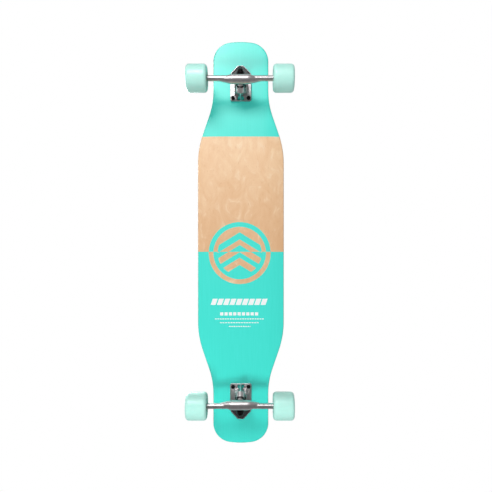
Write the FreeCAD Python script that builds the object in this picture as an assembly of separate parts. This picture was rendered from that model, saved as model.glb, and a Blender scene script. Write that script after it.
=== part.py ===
import FreeCAD, Part
import os
from math import cos, pi, radians, sin, sqrt, tan

# Cutaway longboard.  Millimetres.  +X points to the nose, +Y to the rider's left, +Z up.
# The origin is on the ground, midway between the wheels: the board stands on its wheels.

# ---- driving dimensions -----------------------------------------------------------------

# Deck
DECK_LENGTH = 1070.0
DECK_WIDTH = 230.0
END_WIDTH = 147.0              # narrow ends, so that the wheels stand clear of the deck
SHOULDER_X = 251.0             # where the wide middle starts to narrow
NECK_X = 369.5                 # where the narrow end starts
SHOULDER_RADIUS = 230.0
NECK_RADIUS = 200.0
END_CORNER_RADIUS = 51.0
END_ARC_RADIUS = 200.0         # of the bowed middle of the nose and the tail
END_SLOPE = 7.5                # degrees by which the nose falls back beside that arc
PLY_COUNT = 7
PLY_THICKNESS = 1.65
FLAT_HALF_WIDTH = 55.0         # the middle of the deck is flat, its sides curve up
CONCAVE_RADIUS = 330.0
DECK_EDGE_RADIUS = 3.5
GRIP_THICKNESS = 0.8
GRIP_INSET = 3.8

# Trucks (reverse kingpin).  Sizes are taken from the deck's underside at the middle of the
# bolt pattern: "out" is towards the board's end, "drop" is away from the deck.
TRUCK_X = 409.5
HOLE_SPACING_X = 53.8
HOLE_SPACING_Y = 41.3
AXLE_OUT = 3.5
AXLE_DROP = 70.0
KINGPIN_ANGLE = 45.0           # between the kingpin and the deck
BUSHING_OUT = 14.5             # centre of the hanger's bushing seat
BUSHING_DROP = 31.0
NOSE_LENGTH = 26.0             # from the axle to the centre of the pivot
HANGER_WIDTH = 181.0
ARM_RADIUS = 7.2               # of the hanger's arm at its ends
MIDDLE_RADIUS = 12.3           # of the hanger's arm in its middle
AXLE_RADIUS = 4.0
AXLE_PAST_HANGER = 34.0
PLATE_THICKNESS = 6.0
PLATE_WIDTH = 57.0
PLATE_INNER_X = -35.0          # the foot's inner end
PLATE_TIP_X = 60.0             # the foot's rounded outer end
PLATE_EDGE_RADIUS = 1.8
SUNK = 2.0                     # how deep one part of a casting reaches into the next
KINGPIN_RADIUS = 4.75
BUSHING_RADIUS = 12.7
BUSHING_LENGTH = 15.0
SEAT_THICKNESS = 10.0          # ring of the hanger between the bushings
SEAT_RECESS = 2.0
WASHER_THICKNESS = 2.0
BOSS_THICKNESS = 8.0           # metal between the kingpin's head and the boardside washer
BOLT_RADIUS = 2.4
BOLT_HEAD_RADIUS = 4.7
BOLT_HEAD_HEIGHT = 2.8
BOLT_PAST_PLATE = 7.5
NUT_FLATS = 9.5                # of the mounting nuts
NUT_HEIGHT = 5.0
BOSS_HALF = 16.0               # half widths of the baseplate's kingpin boss, tower and rib
TOWER_HALF = 8.5
RIB_HALF = 2.2
HOUSING_RADIUS = 10.5          # pivot housing on the baseplate's tower
HOUSING_DEPTH = 10.0           # of the housing, behind the pivot's centre
CUP_RADIUS = 8.5
CUP_DEPTH = 7.5
CUP_LIP = 5.0                  # of the cup and the housing, past the pivot's centre
PIVOT_RADIUS = 5.3
HEAD_FLATS = 14.3              # of the kingpin's head and nut
HEAD_HEIGHT = 5.5
HEAD_RECESS_RADIUS = 9.3

# Wheels and bearings
WHEEL_RADIUS = 35.0
WHEEL_WIDTH = 53.0
WHEEL_OFFSET = 6.0             # tread centre outside the bearings' centre
WHEEL_LIP_RADIUS = 8.5
CORE_RADIUS = 17.0
CORE_RIDGE = 2.0
BEARING_RADIUS = 11.0
BEARING_WIDTH = 7.0
SPACER_LENGTH = 10.0
BALL_RADIUS = 1.98
BALL_COUNT = 7
BALL_PITCH_RADIUS = 7.75
SPEED_WASHER_THICKNESS = 1.0

# Clearances
RUNNING_GAP = 0.12             # between a bearing's balls and its races
FIT_GAP = 0.05                 # between a bolt or pin and its hole

# ---- derived dimensions -----------------------------------------------------------------

DECK_THICKNESS = PLY_COUNT * PLY_THICKNESS
DECK_UNDERSIDE_Z = WHEEL_RADIUS + AXLE_DROP
DECK_TOP = DECK_UNDERSIDE_Z + DECK_THICKNESS
GRIP_TOP = DECK_TOP + GRIP_THICKNESS
WEB_HALF = SEAT_THICKNESS / 2 - SEAT_RECESS
SEAT_BACK = WEB_HALF + BUSHING_LENGTH + WASHER_THICKNESS
BEARING_CENTRE = BEARING_WIDTH / 2 + SPACER_LENGTH / 2
HUB_Y = HANGER_WIDTH / 2 + SPEED_WASHER_THICKNESS + BEARING_WIDTH + SPACER_LENGTH / 2

Vec = FreeCAD.Vector
ORIGIN = Vec(0, 0, 0)
X_AXIS = Vec(1, 0, 0)
Y_AXIS = Vec(0, 1, 0)
Z_AXIS = Vec(0, 0, 1)

# A truck's own frame: x outwards, y along the axle, z up, origin on the deck's underside.
SLOPE = radians(KINGPIN_ANGLE)
KINGPIN_DIR = Vec(cos(SLOPE), 0, -sin(SLOPE))
SEAT_DIR = Vec(-sin(SLOPE), 0, -cos(SLOPE))      # along the seat's face, down and inwards
AXLE_POINT = Vec(AXLE_OUT, 0, -AXLE_DROP)
SEAT_POINT = Vec(BUSHING_OUT, 0, -BUSHING_DROP)
PIVOT_POINT = AXLE_POINT - KINGPIN_DIR * NOSE_LENGTH
HEAD_SEAT = SEAT_POINT - KINGPIN_DIR * (SEAT_BACK + BOSS_THICKNESS)


# ---- helpers ----------------------------------------------------------------------------

def tube(start, axis, outer, inner, length):
    """A round tube from start, along axis."""
    body = Part.makeCylinder(outer, length, start, axis)
    return body.cut(Part.makeCylinder(inner, length, start, axis))


def hexagon(start, axis, across_flats, length):
    """A hexagonal prism from start, along axis."""
    corner_radius = across_flats / sqrt(3)
    corners = []
    for i in range(7):
        angle = i * pi / 3
        corners.append(Vec(corner_radius * cos(angle), corner_radius * sin(angle), 0))
    prism = Part.Face(Part.makePolygon(corners)).extrude(Z_AXIS * length)
    prism.Placement = FreeCAD.Placement(start, FreeCAD.Rotation(Z_AXIS, axis))
    return prism


def hex_nut(start, axis, across_flats, hole_radius, length):
    """A nut whose outer corners are bevelled, with its hole."""
    bevel = length / 6
    corner_radius = across_flats / sqrt(3)
    cone_start = start - axis * (corner_radius - bevel)
    cone = Part.makeCone(0, 2 * corner_radius, 2 * corner_radius, cone_start, axis)
    nut = hexagon(start, axis, across_flats, length).common(cone)
    tip = start + axis * (length + corner_radius - bevel)
    nut = nut.common(Part.makeCone(0, 2 * corner_radius, 2 * corner_radius, tip, axis * -1))
    return nut.cut(Part.makeCylinder(hole_radius, length, start, axis))


def rounded_wire(corners, to_point):
    """A closed outline: (a, b, radius) at each corner, placed in space by to_point(a, b)."""
    count = len(corners)
    arcs = []
    for i in range(count):
        corner = Vec(corners[i][0], corners[i][1], 0)
        radius = corners[i][2]
        before = Vec(corners[i - 1][0], corners[i - 1][1], 0)
        after = Vec(corners[(i + 1) % count][0], corners[(i + 1) % count][1], 0)
        back = (before - corner).normalize()
        forward = (after - corner).normalize()
        half_angle = back.getAngle(forward) / 2
        reach = radius / tan(half_angle)
        inward = (back + forward).normalize()
        depth = radius / sin(half_angle) - radius
        arcs.append((corner + back * reach, corner + inward * depth, corner + forward * reach))
    edges = []
    for i in range(count):
        start, middle, end = [to_point(p.x, p.y) for p in arcs[i]]
        if corners[i][2] > 0:
            edges.append(Part.Arc(start, middle, end).toShape())
        following = arcs[(i + 1) % count][0]
        edges.append(Part.LineSegment(end, to_point(following.x, following.y)).toShape())
    return Part.Wire(edges)


def flat_point(x, y):
    return Vec(x, y, 0)


def side_point(x, drop):
    """A point of the truck's middle plane, given outwards and away from the deck."""
    return Vec(x, 0, -drop)


def seat_frame_point(along, across):
    """A point of the truck's middle plane, along the kingpin and across it from the seat."""
    return SEAT_POINT + KINGPIN_DIR * along + SEAT_DIR * across


def thick_slice(wire, half_thickness):
    """The outline in a truck's middle plane, thickened equally to both sides."""
    wire.translate(Y_AXIS * -half_thickness)
    return Part.Face(wire).extrude(Y_AXIS * (2 * half_thickness))


def polygon_slice(points, to_point, half_thickness):
    corners = [(a, b, 0) for a, b in points]
    return thick_slice(rounded_wire(corners, to_point), half_thickness)


def revolved(outline):
    """A solid of revolution about the Y axis from an outline of (y, radius, corner radius)."""
    def profile_point(y, radius):
        return Vec(radius, y, 0)

    return Part.Face(rounded_wire(outline, profile_point)).revolve(ORIGIN, Y_AXIS, 360)


def fuse_all(shapes):
    return shapes[0].multiFuse(shapes[1:]).removeSplitter()


def mirrored_y(shape):
    return shape.mirror(ORIGIN, Y_AXIS)


# ---- deck -------------------------------------------------------------------------------

def deck_outline(inset):
    """The plan of the deck as a wire on z = 0, pulled in all round by inset."""
    half_end = END_WIDTH / 2
    half_width = DECK_WIDTH / 2
    slope = radians(END_SLOPE)
    peak_x = DECK_LENGTH / 2 + END_ARC_RADIUS * (1 / cos(slope) - 1)
    quarter = [
        (SHOULDER_X, half_width, SHOULDER_RADIUS),
        (NECK_X, half_end, NECK_RADIUS),
        (peak_x - half_end * tan(slope), half_end, END_CORNER_RADIUS),
    ]
    nose = quarter + [(peak_x, 0, END_ARC_RADIUS)] + [(x, -y, r) for x, y, r in reversed(quarter)]
    tail = [(-x, y, r) for x, y, r in reversed(nose)]
    wire = rounded_wire(nose + tail, flat_point)
    if inset > 0:
        wire = wire.makeOffset2D(-inset)
    return wire


def deck_band(low, high):
    """A full-length layer of the concave deck, from low to high above its underside."""
    half_width = DECK_WIDTH / 2 + 2
    reach = half_width - FLAT_HALF_WIDTH
    centre_z = DECK_UNDERSIDE_Z + CONCAVE_RADIUS

    def curve(height):
        radius = CONCAVE_RADIUS - height
        middle_y = FLAT_HALF_WIDTH + reach / 2
        points = [Vec(-DECK_LENGTH, FLAT_HALF_WIDTH, centre_z - radius)]
        for y in (middle_y, half_width):
            z = centre_z - sqrt(radius ** 2 - (y - FLAT_HALF_WIDTH) ** 2)
            points.append(Vec(-DECK_LENGTH, y, z))
        return points

    lower = curve(low)
    upper = curve(high)
    flipped_lower = [Vec(p.x, -p.y, p.z) for p in lower]
    flipped_upper = [Vec(p.x, -p.y, p.z) for p in upper]
    edges = [
        Part.LineSegment(flipped_lower[0], lower[0]).toShape(),
        Part.Arc(*lower).toShape(),
        Part.LineSegment(lower[2], upper[2]).toShape(),
        Part.Arc(upper[2], upper[1], upper[0]).toShape(),
        Part.LineSegment(upper[0], flipped_upper[0]).toShape(),
        Part.Arc(*flipped_upper).toShape(),
        Part.LineSegment(flipped_upper[2], flipped_lower[2]).toShape(),
        Part.Arc(flipped_lower[2], flipped_lower[1], flipped_lower[0]).toShape(),
    ]
    return Part.Face(Part.Wire(edges)).extrude(X_AXIS * (2 * DECK_LENGTH))


def bolt_places():
    """Where the bolts pass through the deck's underside."""
    places = []
    for end in (1, -1):
        for along in (-1, 1):
            for side in (-1, 1):
                x = end * TRUCK_X + along * HOLE_SPACING_X / 2
                places.append(Vec(x, side * HOLE_SPACING_Y / 2, DECK_UNDERSIDE_Z))
    return places


def bolt_head_cone(place, gap):
    """The countersunk head, its top level with the grip tape."""
    top = Vec(place.x, place.y, GRIP_TOP)
    radius = BOLT_HEAD_RADIUS + gap
    return Part.makeCone(radius, BOLT_RADIUS + gap, BOLT_HEAD_HEIGHT, top, Z_AXIS * -1)


def bolt_holes():
    holes = []
    for place in bolt_places():
        holes.append(Part.makeCylinder(BOLT_RADIUS + FIT_GAP, GRIP_TOP, Vec(place.x, place.y, 0)))
        holes.append(bolt_head_cone(place, FIT_GAP))
    return Part.makeCompound(holes)


def whole_deck():
    """All plies as one body, with its rounded rim, still without bolt holes."""
    prism = Part.Face(deck_outline(0)).extrude(Z_AXIS * (2 * GRIP_TOP))
    body = deck_band(0, DECK_THICKNESS).common(prism)
    return body.makeFillet(DECK_EDGE_RADIUS, rim_edges(body))


def rim_edges(body):
    """The edges that run round the upper and lower rim of the deck's side."""
    rim = {}
    for face in body.Faces:
        if abs(face.normalAt(0, 0).z) < 0.01:
            for edge in face.Edges:
                if not is_upright(edge):
                    rim[edge.hashCode()] = edge
    return list(rim.values())


def is_upright(edge):
    first = edge.Vertexes[0].Point
    last = edge.Vertexes[-1].Point
    return abs(first.x - last.x) + abs(first.y - last.y) < 0.01


def deck_plies():
    """Each veneer of the laminate, from the painted underside up."""
    names = ["deck_bottom_veneer"]
    names += ["deck_core_ply_%d" % (i + 1) for i in range(PLY_COUNT - 2)]
    names += ["deck_top_veneer"]
    body = whole_deck()
    holes = bolt_holes()
    plies = {}
    for i, name in enumerate(names):
        band = deck_band(i * PLY_THICKNESS, (i + 1) * PLY_THICKNESS)
        plies[name] = body.common(band).cut(holes)
    return plies


def grip_tape():
    prism = Part.Face(deck_outline(GRIP_INSET)).extrude(Z_AXIS * (2 * GRIP_TOP))
    sheet = deck_band(DECK_THICKNESS, DECK_THICKNESS + GRIP_THICKNESS).common(prism)
    return sheet.cut(bolt_holes())


def mounting_bolts():
    """Flat-head bolts, from the grip tape down through deck and baseplate."""
    length = GRIP_TOP - DECK_UNDERSIDE_Z + PLATE_THICKNESS + BOLT_PAST_PLATE
    bolts = []
    for place in bolt_places():
        shank_start = Vec(place.x, place.y, GRIP_TOP - length)
        shank = Part.makeCylinder(BOLT_RADIUS, length, shank_start)
        bolt = shank.fuse(bolt_head_cone(place, 0)).removeSplitter()
        bolts.append(bolt.cut(driver_cross(place)))
    return Part.makeCompound(bolts)


def driver_cross(place):
    """The cross-shaped driver recess in a bolt's head."""
    length, width, depth = 5.2, 1.3, 1.6
    slots = []
    for turn in (0, 90):
        slot = Part.makeBox(length, width, depth, Vec(-length / 2, -width / 2, -depth))
        slot.rotate(ORIGIN, Z_AXIS, turn)
        slot.translate(Vec(place.x, place.y, GRIP_TOP))
        slots.append(slot)
    return slots[0].fuse(slots[1])


def mounting_nuts():
    nuts = []
    for place in bolt_places():
        start = place - Z_AXIS * PLATE_THICKNESS
        nuts.append(hex_nut(start, Z_AXIS * -1, NUT_FLATS, BOLT_RADIUS, NUT_HEIGHT))
    return Part.makeCompound(nuts)


# ---- truck ------------------------------------------------------------------------------

def foot_outline():
    """Plan of the baseplate's foot, which narrows to a rounded tip at its outer end."""
    half_width = PLATE_WIDTH / 2
    tip_half_width = 8.0
    narrowing_x = 38.0
    corner_radius = 5.0
    side_radius = 14.0
    tip_radius = 8.0
    return rounded_wire([
        (PLATE_INNER_X, -half_width, corner_radius),
        (narrowing_x, -half_width, side_radius),
        (PLATE_TIP_X, -tip_half_width, tip_radius),
        (PLATE_TIP_X, tip_half_width, tip_radius),
        (narrowing_x, half_width, side_radius),
        (PLATE_INNER_X, half_width, corner_radius),
    ], flat_point)


def foot_slab():
    foot = Part.Face(foot_outline()).extrude(Z_AXIS * -PLATE_THICKNESS)
    lower_edges = []
    for edge in foot.Edges:
        if all(abs(v.Point.z + PLATE_THICKNESS) < 0.01 for v in edge.Vertexes):
            lower_edges.append(edge)
    return foot.makeFillet(PLATE_EDGE_RADIUS, lower_edges)


def foot_pockets():
    """Two openings in the foot behind the tower, one on each side of its rib."""
    inner_x = PLATE_INNER_X + 2.5
    outer_x = PLATE_INNER_X + 12.0
    corner_radius = 1.0
    outline = [
        (inner_x, RIB_HALF, corner_radius),
        (inner_x, 9.5, corner_radius),
        (outer_x, 7.5, corner_radius),
        (outer_x, RIB_HALF, corner_radius),
    ]
    pocket = Part.Face(rounded_wire(outline, flat_point)).extrude(Z_AXIS * -PLATE_THICKNESS)
    return pocket.fuse(mirrored_y(pocket))


def tip_recess():
    """The hollow under the foot's outer end, which leaves a narrow rim standing."""
    rim_width = 2.6
    depth = 3.0
    start_x = 34.0
    floor = Part.Face(foot_outline().makeOffset2D(-rim_width))
    floor.translate(Z_AXIS * (depth - PLATE_THICKNESS))
    hollow = floor.extrude(Z_AXIS * -depth)
    corner = Vec(start_x, -PLATE_WIDTH, -PLATE_THICKNESS)
    return hollow.common(Part.makeBox(PLATE_TIP_X, 2 * PLATE_WIDTH, PLATE_THICKNESS, corner))


def boss_face_out(drop):
    """How far out the baseplate's sloping face lies, which carries the boardside washer."""
    face = SEAT_POINT - KINGPIN_DIR * SEAT_BACK
    return face.x - (drop + face.z) * tan(SLOPE)


def kingpin_boss():
    root = PLATE_THICKNESS - SUNK
    drop = 29.0
    outline = [(boss_face_out(root), root), (boss_face_out(drop), drop), (-18, drop), (-21, root)]
    return polygon_slice(outline, side_point, BOSS_HALF)


def pivot_tower():
    """The post that carries the pivot housing, with the thin rib behind it."""
    root = PLATE_THICKNESS - SUNK
    front_low, front_high = 24.0, 35.0
    ridge = (-14, 40)
    back = (-27.5, 50)
    post = [
        (boss_face_out(front_low) - SUNK, front_low),
        (boss_face_out(front_high) - SUNK, front_high),
        ridge,
        back,
        (-22.5, 34),
        (-21.5, root),
    ]
    rib = [(-20, 40), back, (-30, 42), (PLATE_INNER_X + 1.5, root), (-20, root)]
    post_body = polygon_slice(post, side_point, TOWER_HALF)
    return post_body.fuse(polygon_slice(rib, side_point, RIB_HALF))


def baseplate():
    """Cast foot with a sloping boss for the kingpin and a tower for the pivot."""
    beyond = 100.0
    housing_start = PIVOT_POINT - KINGPIN_DIR * HOUSING_DEPTH
    housing = Part.makeCylinder(HOUSING_RADIUS, HOUSING_DEPTH + CUP_LIP, housing_start, KINGPIN_DIR)
    foot = foot_slab().cut(foot_pockets()).cut(tip_recess())
    body = fuse_all([foot, kingpin_boss(), pivot_tower(), housing])
    head_recess = Part.makeCylinder(HEAD_RECESS_RADIUS, beyond, HEAD_SEAT, KINGPIN_DIR * -1)
    kingpin_hole = Part.makeCylinder(KINGPIN_RADIUS + FIT_GAP, 30, HEAD_SEAT, KINGPIN_DIR)
    cup_start = PIVOT_POINT - KINGPIN_DIR * CUP_DEPTH
    cup_bore = Part.makeCylinder(CUP_RADIUS, beyond, cup_start, KINGPIN_DIR)
    body = body.cut(head_recess).cut(kingpin_hole).cut(cup_bore)
    for along in (-1, 1):
        for side in (-1, 1):
            start = Vec(along * HOLE_SPACING_X / 2, side * HOLE_SPACING_Y / 2, -beyond / 2)
            body = body.cut(Part.makeCylinder(BOLT_RADIUS + 0.3, beyond, start))
    return body


def pivot_cup():
    """Urethane liner of the pivot housing, flared so that the hanger's nose can tilt in it."""
    start = PIVOT_POINT - KINGPIN_DIR * CUP_DEPTH
    cup = Part.makeCylinder(CUP_RADIUS, CUP_DEPTH + CUP_LIP, start, KINGPIN_DIR)
    socket_radius = PIVOT_RADIUS + 0.5
    socket = Part.makeSphere(socket_radius, PIVOT_POINT)
    flare = Part.makeCone(socket_radius, CUP_RADIUS - 0.6, CUP_LIP, PIVOT_POINT, KINGPIN_DIR)
    return cup.cut(socket.fuse(flare))


def kingpin():
    """Bolt whose hexagonal head lies in the baseplate's recess."""
    past_washer = 10.5
    length = 2 * SEAT_BACK + BOSS_THICKNESS + past_washer
    shank = Part.makeCylinder(KINGPIN_RADIUS, length, HEAD_SEAT, KINGPIN_DIR)
    end_edges = []
    for edge in shank.Edges:
        if edge.Closed and edge.CenterOfMass.distanceToPoint(HEAD_SEAT) > length / 2:
            end_edges.append(edge)
    shank = shank.makeChamfer(0.8, end_edges)
    head_top = HEAD_SEAT - KINGPIN_DIR * HEAD_HEIGHT
    return shank.fuse(hexagon(head_top, KINGPIN_DIR, HEAD_FLATS, HEAD_HEIGHT)).removeSplitter()


def kingpin_nut():
    height = 8.5
    start = SEAT_POINT + KINGPIN_DIR * SEAT_BACK
    return hex_nut(start, KINGPIN_DIR, HEAD_FLATS, KINGPIN_RADIUS, height)


def bushing(direction, far_radius):
    """A bushing on one side of the hanger's seat, whose far end has its own radius."""
    start = SEAT_POINT + KINGPIN_DIR * (direction * WEB_HALF)
    axis = KINGPIN_DIR * direction
    if far_radius == BUSHING_RADIUS:
        body = Part.makeCylinder(BUSHING_RADIUS, BUSHING_LENGTH, start, axis)
    else:
        collar = SEAT_RECESS + 1.5
        body = Part.makeCylinder(BUSHING_RADIUS, collar, start, axis)
        cone_length = BUSHING_LENGTH - collar
        cone_start = start + axis * collar
        cone = Part.makeCone(BUSHING_RADIUS, far_radius, cone_length, cone_start, axis)
        body = body.fuse(cone).removeSplitter()
    hole = Part.makeCylinder(KINGPIN_RADIUS + FIT_GAP, BUSHING_LENGTH, start, axis)
    return body.cut(hole)


def cupped_washer(direction, bushing_radius):
    """A washer with a low rim that holds the bushing's end."""
    rim_height = 1.4
    rim_wall = 0.9
    inner = bushing_radius + 0.6   # leaves the bushing room to spread
    bottom = SEAT_POINT + KINGPIN_DIR * (direction * SEAT_BACK)
    axis = KINGPIN_DIR * -direction
    disc = Part.makeCylinder(inner + rim_wall, WASHER_THICKNESS + rim_height, bottom, axis)
    hollow_start = bottom + axis * WASHER_THICKNESS
    disc = disc.cut(Part.makeCylinder(inner, rim_height, hollow_start, axis))
    return disc.cut(Part.makeCylinder(KINGPIN_RADIUS + FIT_GAP, 10, bottom, axis))


def hanger_bar():
    """The hanger's round arm and the thicker, tapering middle that stands a little inwards."""
    arm_start = AXLE_POINT - Y_AXIS * (HANGER_WIDTH / 2)
    arm = Part.makeCylinder(ARM_RADIUS, HANGER_WIDTH, arm_start, Y_AXIS)
    taper_end = 54.0
    taper_start = 22.0
    end_radius = 4.5               # inside the arm, so that the taper runs out on its surface
    blend_radius = 45.0
    outline = [
        (-taper_end, 0, 0),
        (-taper_end, end_radius, 0),
        (-taper_start, MIDDLE_RADIUS, blend_radius),
        (taper_start, MIDDLE_RADIUS, blend_radius),
        (taper_end, end_radius, 0),
        (taper_end, 0, 0),
    ]
    inwards, upwards = 1.9, 1.0
    middle = revolved(outline)
    middle.translate(AXLE_POINT + Vec(-inwards, 0, upwards))
    return arm.fuse(middle)


def hanger_yoke():
    """The ring between the bushings and the web that joins it to the arm."""
    half = SEAT_THICKNESS / 2
    ring = 16.5
    # seen from the side, as (along the kingpin, across it)
    side = [
        (-half, -ring),
        (half, -ring),
        (half, 14.2),
        (22, 25),
        (26, 40),
        (12, 42),
        (10, 30),
        (0, 17.5),
        (-half, ring),
    ]
    # seen along the kingpin, as (across it, y, corner radius): a ring, then a widening web
    half_plan = [
        (-ring, ring, ring - 0.5),
        (14.0, ring, 10.0),
        (28.0, 25.0, 6.0),
        (46.0, 25.0, 3.0),
    ]
    plan = half_plan + [(across, -y, radius) for across, y, radius in reversed(half_plan)]

    def plan_point(across, y):
        return SEAT_POINT - KINGPIN_DIR * 10 + SEAT_DIR * across + Y_AXIS * y

    plan_prism = Part.Face(rounded_wire(plan, plan_point)).extrude(KINGPIN_DIR * 50)
    return polygon_slice(side, seat_frame_point, 30).common(plan_prism)


def hanger():
    nose_length = NOSE_LENGTH - 4
    nose_root_radius = 8.2
    nose_radius = PIVOT_RADIUS - 0.3
    nose = Part.makeCone(nose_radius, nose_root_radius, nose_length, PIVOT_POINT, KINGPIN_DIR)
    ball = Part.makeSphere(PIVOT_RADIUS, PIVOT_POINT)
    body = fuse_all([hanger_bar(), hanger_yoke(), nose, ball])
    for direction in (-1, 1):
        start = SEAT_POINT + KINGPIN_DIR * (direction * WEB_HALF)
        recess = Part.makeCylinder(BUSHING_RADIUS + 0.3, 6, start, KINGPIN_DIR * direction)
        body = body.cut(recess)
    hole_start = SEAT_POINT - KINGPIN_DIR * SEAT_THICKNESS
    hole_radius = KINGPIN_RADIUS + 1.75    # wide enough for the hanger to tilt round the kingpin
    body = body.cut(Part.makeCylinder(hole_radius, 2 * SEAT_THICKNESS, hole_start, KINGPIN_DIR))
    axle_start = AXLE_POINT - Y_AXIS * HANGER_WIDTH
    return body.cut(Part.makeCylinder(AXLE_RADIUS, 2 * HANGER_WIDTH, axle_start, Y_AXIS))


def axle():
    half_length = HANGER_WIDTH / 2 + AXLE_PAST_HANGER
    rod = Part.makeCylinder(AXLE_RADIUS, 2 * half_length, AXLE_POINT - Y_AXIS * half_length, Y_AXIS)
    return rod.makeChamfer(0.8, [e for e in rod.Edges if e.Closed])


def place_truck(shape, end):
    """Moves a shape from the truck's own frame to the front (end = 1) or rear (end = -1)."""
    placed = shape.copy()
    if end < 0:
        placed.rotate(ORIGIN, Z_AXIS, 180)
    placed.translate(Vec(end * TRUCK_X, 0, DECK_UNDERSIDE_Z))
    return placed


# ---- wheel ------------------------------------------------------------------------------
# A wheel's own frame: y along the axle, away from the board, origin midway between bearings.

def ridge_outline(ridge_radius):
    half_width = 3.0
    return [
        (-half_width, CORE_RADIUS, 0),
        (-half_width, ridge_radius, 0),
        (half_width, ridge_radius, 0),
        (half_width, CORE_RADIUS, 0),
    ]


def wheel_tyre():
    """Cast urethane, whose tread stands further out than its bearings."""
    inner_face = WHEEL_OFFSET - WHEEL_WIDTH / 2
    outer_face = WHEEL_OFFSET + WHEEL_WIDTH / 2
    core_half = BEARING_CENTRE + BEARING_WIDTH / 2 + 0.5
    outline = [
        (inner_face, WHEEL_RADIUS, WHEEL_LIP_RADIUS),
        (inner_face, 20.0, 3.0),
        (-core_half, CORE_RADIUS, 0),
    ]
    outline += ridge_outline(CORE_RADIUS + CORE_RIDGE)
    outline += [
        (core_half, CORE_RADIUS, 0),
        (outer_face, 22.0, 3.0),
        (outer_face, WHEEL_RADIUS, WHEEL_LIP_RADIUS),
    ]
    return revolved(outline)


def wheel_core():
    """Stiff hub that holds both bearings and the shoulder between them."""
    core_half = BEARING_CENTRE + BEARING_WIDTH / 2 + 0.5
    shoulder = SPACER_LENGTH / 2
    outline = [(-core_half, CORE_RADIUS, 0)]
    outline += ridge_outline(CORE_RADIUS + CORE_RIDGE)
    outline += [
        (core_half, CORE_RADIUS, 0),
        (core_half, BEARING_RADIUS, 0),
        (shoulder, BEARING_RADIUS, 0),
        (shoulder, 9.5, 0),
        (-shoulder, 9.5, 0),
        (-shoulder, BEARING_RADIUS, 0),
        (-core_half, BEARING_RADIUS, 0),
    ]
    return revolved(outline)


def bearing_groove():
    return Part.makeTorus(BALL_PITCH_RADIUS, BALL_RADIUS + RUNNING_GAP, ORIGIN, Y_AXIS)


def bearing_outer_race():
    start = Y_AXIS * (-BEARING_WIDTH / 2)
    return tube(start, Y_AXIS, BEARING_RADIUS, 9.3, BEARING_WIDTH).cut(bearing_groove())


def bearing_inner_race():
    start = Y_AXIS * (-BEARING_WIDTH / 2)
    return tube(start, Y_AXIS, 6.2, AXLE_RADIUS + 0.02, BEARING_WIDTH).cut(bearing_groove())


def ball_centres():
    centres = []
    for i in range(BALL_COUNT):
        angle = 2 * pi * i / BALL_COUNT
        centres.append(Vec(BALL_PITCH_RADIUS * cos(angle), 0, BALL_PITCH_RADIUS * sin(angle)))
    return centres


def bearing_balls():
    return Part.makeCompound([Part.makeSphere(BALL_RADIUS, centre) for centre in ball_centres()])


def bearing_cage():
    """Crown that spaces the balls, open towards one face of the bearing."""
    cage = tube(Y_AXIS * -1.0, Y_AXIS, 8.4, 7.1, 3.7)
    for centre in ball_centres():
        cage = cage.cut(Part.makeCylinder(BALL_RADIUS + RUNNING_GAP, 20, ORIGIN, centre))
    return cage


def bearing_shields():
    thickness = 0.35
    outer_edge = BEARING_WIDTH / 2 - 0.1
    near = tube(Y_AXIS * (outer_edge - thickness), Y_AXIS, 9.3, 6.5, thickness)
    return Part.makeCompound([near, mirrored_y(near)])


def pair(shape):
    """Two of a piece, one at each bearing."""
    copies = []
    for side in (-1, 1):
        copy = shape.copy()
        copy.translate(Y_AXIS * (side * BEARING_CENTRE))
        copies.append(copy)
    return Part.makeCompound(copies)


def bearing_spacer():
    start = Y_AXIS * (-SPACER_LENGTH / 2)
    return tube(start, Y_AXIS, 5.2, AXLE_RADIUS + 0.02, SPACER_LENGTH)


def speed_washers():
    inner_end = BEARING_CENTRE + BEARING_WIDTH / 2
    washer = tube(Y_AXIS * inner_end, Y_AXIS, 5.9, AXLE_RADIUS + 0.02, SPEED_WASHER_THICKNESS)
    return Part.makeCompound([washer, mirrored_y(washer)])


def axle_nut():
    start = Y_AXIS * (BEARING_CENTRE + BEARING_WIDTH / 2 + SPEED_WASHER_THICKNESS)
    return hex_nut(start, Y_AXIS, 13.0, AXLE_RADIUS, 6.5)


def place_wheel(shape, end, side):
    """Moves a shape from the wheel's own frame to one end of one axle."""
    placed = shape.copy() if side > 0 else mirrored_y(shape)
    axle_x = end * (TRUCK_X + AXLE_OUT)
    placed.translate(Vec(axle_x, side * HUB_Y, WHEEL_RADIUS))
    return placed


# ---- assembly ---------------------------------------------------------------------------

def truck_nodes():
    """The pieces that each truck has of its own, and those that the two share a node for."""
    roadside_radius = 9.5
    own = {
        "baseplate": baseplate(),
        "boardside_bushing": bushing(-1, BUSHING_RADIUS),
        "roadside_bushing": bushing(1, roadside_radius),
        "boardside_washer": cupped_washer(-1, BUSHING_RADIUS),
        "roadside_washer": cupped_washer(1, roadside_radius),
        "hanger": hanger(),
        "axle": axle(),
    }
    shared = {"kingpins": kingpin(), "kingpin_nuts": kingpin_nut(), "pivot_cups": pivot_cup()}
    nodes = {}
    for end, end_name in ((1, "front"), (-1, "rear")):
        for name, shape in own.items():
            nodes[end_name + "_" + name] = place_truck(shape, end)
    for name, shape in shared.items():
        nodes[name] = Part.makeCompound([place_truck(shape, end) for end in (1, -1)])
    return nodes


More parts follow.
